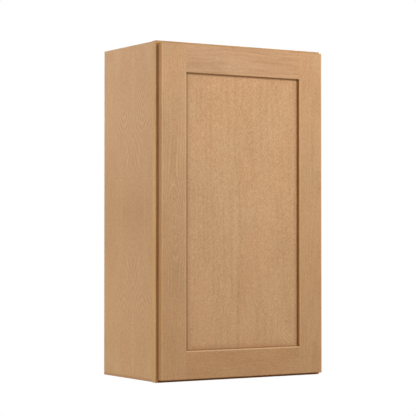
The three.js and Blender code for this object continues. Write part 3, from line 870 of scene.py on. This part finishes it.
def mineral_streak(g, x, z):
    """One dark streak runs up the lower half of the panel."""
    waver = g.noise(g.combine(0.0, 0.0, z), (1.0, 1.0, 14.0), 3.0)
    off = g.math("SUBTRACT", x, g.swing(waver, STREAK_WAVER, STREAK_ASIDE))
    streak = g.remap(g.math("ABSOLUTE", off), 1.2 * MM, 5 * MM, 0.16, 0.0)
    broken = g.noise(g.combine(x, 0.0, z), (120.0, 1.0, 40.0))
    streak = g.math("MULTIPLY", streak, g.remap(broken, 0.3, 0.6, 0.2, 1.0))
    ends = g.math(
        "MULTIPLY",
        g.remap(z, STREAK_FOOT - 0.06, STREAK_FOOT, smooth=True),
        g.remap(z, STREAK_HEAD, STREAK_HEAD + 0.12, 1.0, 0.0, smooth=True),
    )
    return g.math("MULTIPLY", streak, ends)


def shade_and_streak_on_panel(g):
    """The painted shade round the panel or the dark of its mineral streak, whichever is more."""
    x, y, z = g.object_axes(middle_of("door_panel"))
    return g.math("MAXIMUM", painted_shade_round_panel(g, x, z), mineral_streak(g, x, z))


def swirl(g):
    """Light lines curl round the right edge of the panel, near its foot."""
    x, y, z = g.object_axes(middle_of("door_panel"))
    aside = g.math("SUBTRACT", x, OPENING_SIDE + SWIRL_PAST)
    above = g.math("ADD", z, HALF_OPENING - SWIRL_ABOVE)
    reach = g.length(aside, above)
    waver = g.noise(g.combine(aside, above, 0.0), (30.0, 30.0, 1.0))
    count = g.math("MULTIPLY_ADD", reach, 1 / SWIRL_PITCH, waver)
    line = g.math("ABSOLUTE", g.math("SUBTRACT", g.math("FRACT", count), 0.5))
    line = g.remap(line, 0.06, 0.22, 0.27, 0.0)
    band = g.math("ABSOLUTE", g.math("SUBTRACT", reach, SWIRL_RADIUS))
    band = g.remap(band, 10 * MM, 20 * MM, 1.0, 0.0, smooth=True)
    lower = g.remap(g.math("DIVIDE", above, reach), -0.1, -0.4, smooth=True)
    return g.math("MULTIPLY", g.math("MULTIPLY", line, band), lower)


def make_door_panel():
    node = "door_panel"
    name = "stained maple veneer door panel"
    # Painted shade towards the foot and round the panel, light swirl lines and the mineral streak.
    touches = [("painted_foot_shade", painted_shade_to_foot), ("highlight_and_light_grain", swirl), ("painted_shade_and_mineral", shade_and_streak_on_panel)]
    material = wood(name, UPRIGHT, middle_of(node), STAINED_PANEL, 53, FLECKED, touches)
    settle(eased(node, {None: material}, {}), node)


def make_door():
    # A painted highlight along the bottom rail's top corner and painted shade along the door's foot.
    highlight_and_shade_at_foot = (("highlight_and_light_grain", painted_highlight_on_top), ("painted_shade_and_mineral", painted_shade_along_foot))
    make_door_stile("left", "right", seed=531, figure=EYED)
    make_door_stile("right", "left", seed=32, figure=SMOOTH)
    make_door_rail("bottom", "low", "high", 41, STAINED_FOOT, FINE, highlight_and_shade_at_foot)
    make_door_rail("top", "high", "low", 42, STAINED_HEAD, STREAKED)
    make_door_panel()


# ---- The box ----------------------------------------------------------------------------------


def seam_line(g):
    """A thin light line down the upper and lower parts of the seam in the side veneer."""
    x, y, z = g.object_axes(middle_of("side_panel_left"))
    off = g.math("ABSOLUTE", g.math("SUBTRACT", y, SEAM))
    rise = g.math("ABSOLUTE", z)
    broken = g.noise(g.combine(0.0, 0.0, rise), (1.0, 1.0, 30.0))
    share = g.math("MULTIPLY", g.remap(off, 0.8 * MM, 3.0 * MM, 0.2, 0.0), g.remap(broken, 0.2, 0.7))
    return g.math("MULTIPLY", share, g.remap(rise, 0.26, 0.3, smooth=True))


def make_side_panel(side, inner, seed):
    """A plywood side: matched veneer outside, natural maple inside and bare plies at its edges."""
    node = f"side_panel_{side}"
    middle = middle_of(node)
    # Painted shade along the side's foot, and a light line down its veneer seam.
    touches = [("painted_shade_and_mineral", painted_shade_at_foot(10 * MM, 0.25)), ("highlight_and_light_grain", seam_line)]
    name = f"stained maple veneer {node}"
    outside = wood(name, SIDE, middle, STAINED_SIDE, seed, MATCHED, touches)
    inside = wood(f"natural maple {node}", SIDE, middle, NATURAL, seed + 5)
    edge = plywood_edge(f"plywood edge {node}", "x", middle)
    edges = dict.fromkeys(("low", "high", "back", "front"), edge)
    materials = {side: outside, inner: inside, **edges, None: inside}
    radii = {**around(SOFT, side), (side, "front"): HAIRLINE}
    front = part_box(node)[0].y
    closing = [(1, front, front - CAD_GAP + HAIRLINE)]
    piece = eased(node, materials, radii, CRISP, closing=closing)
    settle(piece, node)


def make_flat_panel(node, seed, edge_sides, radius):
    """A level panel with maple faces, and bare plywood edges on some of its sides."""
    middle = middle_of(node)
    faces = wood(f"natural maple {node}", SHELF, middle, NATURAL, seed)
    edge = plywood_edge(f"plywood edge {node}", "z", middle)
    materials = {None: faces, **dict.fromkeys(edge_sides, edge)}
    settle(eased(node, materials, {}, radius), node)


def make_box():
    make_side_panel("left", "right", seed=61)
    make_side_panel("right", "left", seed=62)
    for seed, node in enumerate(("top_panel", "bottom_panel"), 71):
        make_flat_panel(node, seed, ("back", "front", "left", "right"), CRISP)
    node = "back_panel"
    material = wood("natural maple back panel", UPRIGHT, middle_of(node), NATURAL, 81)
    settle(eased(node, {None: material}, {}), node)
    for seed, node in enumerate(("hanging_rail_top", "hanging_rail_bottom"), 91):
        material = wood(f"bare wood {node}", LEVEL, middle_of(node), RAW, seed)
        settle(eased(node, {None: material}, {}, SOFT), node)


def make_shelves():
    for seed, name in enumerate(("lower", "upper"), 101):
        node = f"shelf_{name}"
        make_flat_panel(node, seed, ("back", "left", "right"), SANDED)
        band = f"{node}_edge_band"
        material = wood(f"edge band {name}", LEVEL, middle_of(band), NATURAL, seed + 10)
        settle(eased(band, {None: material}, {}, SANDED), band)


# ---- Hardware ---------------------------------------------------------------------------------

# A screw's sizes. The head, its rim and the thread's crest and root are measured from the axis
# out, and the cross slot keeps the taper's share of its width at its depth.
SCREW = {
    "head": 3.0 * MM,
    "rim": 0.12 * MM,
    "head_height": 1.6 * MM,
    "crest": 1.6 * MM,
    "root": 1.25 * MM,
    "pitch": 1.3 * MM,
    "point": 2.5 * MM,
    "slot_reach": 1.7 * MM,
    "slot_half_width": 0.42 * MM,
    "slot_depth": 1.0 * MM,
    "slot_taper": 0.55,
}
TURN = 2 * math.pi


def slot_angles():
    """Angles round a cross slot that meet all of its corners."""
    tip = math.atan2(SCREW["slot_half_width"], SCREW["slot_reach"])
    quarter = (0.0, tip, TURN / 12, TURN / 8, TURN / 6, TURN / 4 - tip)
    return [start * TURN / 4 + angle for start in range(4) for angle in quarter]


def round_outline(radius):
    return [(radius * math.cos(a), radius * math.sin(a)) for a in slot_angles()]


def slot_outline(scale):
    """The outline of a cross slot, at the same angles as a round outline."""
    points = []
    for angle in slot_angles():
        cosine, sine = abs(math.cos(angle)), abs(math.sin(angle))
        to_tip = SCREW["slot_reach"] / max(cosine, sine)
        to_flank = SCREW["slot_half_width"] / max(min(cosine, sine), 1e-6)
        radius = scale * min(to_tip, to_flank)
        points.append((radius * math.cos(angle), radius * math.sin(angle)))
    return points


def loft(name, rings, first_tip, last_tip, place, material):
    """A closed skin over rings of points, each an outline and its height, and two end points."""
    work = bmesh.new()
    loops = [
        [work.verts.new(place @ Vector((x, y, height))) for x, y in outline]
        for outline, height in rings
    ]
    first = work.verts.new(place @ Vector((0, 0, first_tip)))
    last = work.verts.new(place @ Vector((0, 0, last_tip)))
    count = len(loops[0])
    for i in range(count):
        j = (i + 1) % count
        work.faces.new((first, loops[0][j], loops[0][i]))
        work.faces.new((last, loops[-1][i], loops[-1][j]))
        for below, above in zip(loops, loops[1:]):
            work.faces.new((below[i], below[j], above[j], above[i]))
    work.normal_update()
    for face in work.faces:
        face.smooth = True
    for edge in work.edges:
        edge.smooth = edge.calc_face_angle() < SHARP
    return add_piece(name, work, [material])


def make_screw(node, outward, material):
    """A countersunk screw with a cross slot and a threaded shank, in the place of a CAD screw
    whose head faces outward."""
    low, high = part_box(node)
    outward = Vector(outward)
    length = abs((high - low).dot(outward))
    head = (low + high) / 2 + outward * length / 2
    place = Matrix.Translation(head) @ outward.to_track_quat("Z", "Y").to_matrix().to_4x4()

    rings = []
    neck = -SCREW["head_height"]
    turns = int((length + neck - SCREW["point"]) / SCREW["pitch"])
    for turn in reversed(range(1, turns + 1)):
        height = neck - turn * SCREW["pitch"]
        rings.append((round_outline(SCREW["root"]), height))
        rings.append((round_outline(SCREW["crest"]), height + SCREW["pitch"] / 2))
    rings.append((round_outline(SCREW["crest"]), neck))
    rings.append((round_outline(SCREW["head"]), -SCREW["rim"]))
    rings.append((round_outline(SCREW["head"] - SCREW["rim"]), 0.0))
    rings.append((slot_outline(1.0), 0.0))
    rings.append((slot_outline(SCREW["slot_taper"]), -SCREW["slot_depth"]))
    floor = -1.1 * SCREW["slot_depth"]
    settle(loft(node, rings, -length, floor, place, material), node)


def make_hardware():
    plain = nickel("nickel plate")
    for node in sorted(n for n in frame["nodes"] if n.startswith(("hinge_", "shelf_pin_"))):
        if "base_screw" in node:
            make_screw(node, (-1, 0, 0), plain)
        elif "cup_screw" in node:
            make_screw(node, (0, 1, 0), plain)
        else:
            piece = eased(node, {None: plain}, {}, PRESSED, segments=2)
            settle(piece, node)
    clear = clear_plastic("clear bumper plastic")
    for node in ("door_bumper_lower", "door_bumper_upper"):
        settle(eased(node, {None: clear}, {}), node)


# ---- Camera, light and floor ------------------------------------------------------------------

# The camera's place, from the lower left front corner of the face frame, how it is turned, in
# degrees, and its focal length, in millimetres.
CAMERA_PLACE = Vector((-2.0855, -3.6741, 0.3870))
CAMERA_TILT = 91.07
CAMERA_TURN = -31.466
FOCAL_LENGTH = 137.05


def make_camera():
    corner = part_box("frame_stile_left")[0]
    camera = bpy.data.cameras.new("camera")
    camera.lens = FOCAL_LENGTH
    camera.sensor_width = 36.0
    camera.clip_end = 60.0
    placed = bpy.data.objects.new("camera", camera)
    placed.location = corner + CAMERA_PLACE
    placed.rotation_euler = (math.radians(CAMERA_TILT), 0.0, math.radians(CAMERA_TURN))
    bpy.context.scene.collection.objects.link(placed)
    bpy.context.scene.camera = placed


WHITE = (1.0, 1.0, 1.0, 1.0)
PALE = (0.8, 0.8, 0.8, 1.0)
MOTTLED = (0.77, 0.77, 0.77, 1.0)
AMBIENT = 0.3  # the share of the backdrop's white that lights the object
HANGING_HEIGHT = 1.37  # from the floor to the cabinet's foot

# The floor glows more from where it starts to brighten out to where it is as white as it gets.
FLOOR_RADIUS = 10.0
GLOW_START = 3.0
GLOW_END = 0.95 * FLOOR_RADIUS
GLOW_NEAR = 0.2
GLOW_FAR = 0.9


def soft_light(name, place, target, size, brightness):
    """A round soft light. Brightness is what it gives a white surface that faces it, where 1 is
    a fully lit white."""
    light = bpy.data.lights.new(name, "AREA")
    light.shape = "DISK"
    light.size = size
    reach = target - place
    light.energy = brightness * (math.pi * reach.length) ** 2
    placed = bpy.data.objects.new(name, light)
    placed.location = place
    placed.rotation_euler = reach.to_track_quat("-Z", "Y").to_euler()
    bpy.context.scene.collection.objects.link(placed)


def make_world():
    """A plain white backdrop that lights the object less than it shows."""
    world = bpy.data.worlds.new("white studio")
    world.use_nodes = True
    tree = world.node_tree
    background = tree.nodes["Background"]
    background.inputs["Color"].default_value = WHITE
    path = tree.nodes.new("ShaderNodeLightPath")
    strength = tree.nodes.new("ShaderNodeMapRange")
    strength.inputs["To Min"].default_value = AMBIENT
    strength.inputs["To Max"].default_value = 1.0
    tree.links.new(path.outputs["Is Camera Ray"], strength.inputs["Value"])
    tree.links.new(strength.outputs[0], background.inputs["Strength"])
    bpy.context.scene.world = world


def make_floor(middle, height):
    """A pale floor that brightens into the white of the backdrop."""
    bpy.ops.mesh.primitive_circle_add(vertices=128, radius=FLOOR_RADIUS, fill_type="NGON")
    floor = bpy.context.object
    floor.name = "floor"
    floor.location = (middle.x, middle.y, height)
    g = Graph("pale floor")
    place = g.object_place()
    mottle = g.noise(place, (3.0, 3.0, 3.0), 4.0)
    color = g.mix(mottle, PALE, MOTTLED)
    distance = g.add("ShaderNodeVectorMath", operation="LENGTH")
    g.feed(distance.inputs[0], place)
    out = distance.outputs["Value"]
    glow = g.remap(out, GLOW_START, GLOW_END, GLOW_NEAR, GLOW_FAR, smooth=True)
    coat = {"Specular_IOR_Level": 0.1, "Emission_Color": WHITE, "Emission_Strength": glow}
    floor.data.materials.append(g.finish(color, 0.9, **coat))


def make_studio():
    low, high = cad_box
    middle = (low + high) / 2
    make_world()
    make_floor(middle, low.z - HANGING_HEIGHT)
    key = Vector((0.45, low.y - 1.6, high.z + 0.7))
    left = Vector((-2.8, 1.5, high.z + 0.25))
    right = Vector((2.6, 1.5, high.z + 1.0))
    back = Vector((-0.4, 3.0, high.z + 0.6))
    soft_light("key", key, middle, size=0.7, brightness=0.635)
    soft_light("left", left, middle, size=1.2, brightness=0.548)
    soft_light("right", right, middle, size=1.2, brightness=0.5)
    soft_light("back", back, middle, size=1.4, brightness=0.2)
    bpy.context.scene.view_settings.view_transform = "Standard"


make_camera()
make_box()
make_face_frame()
make_door()
make_shelves()
make_hardware()
make_studio()
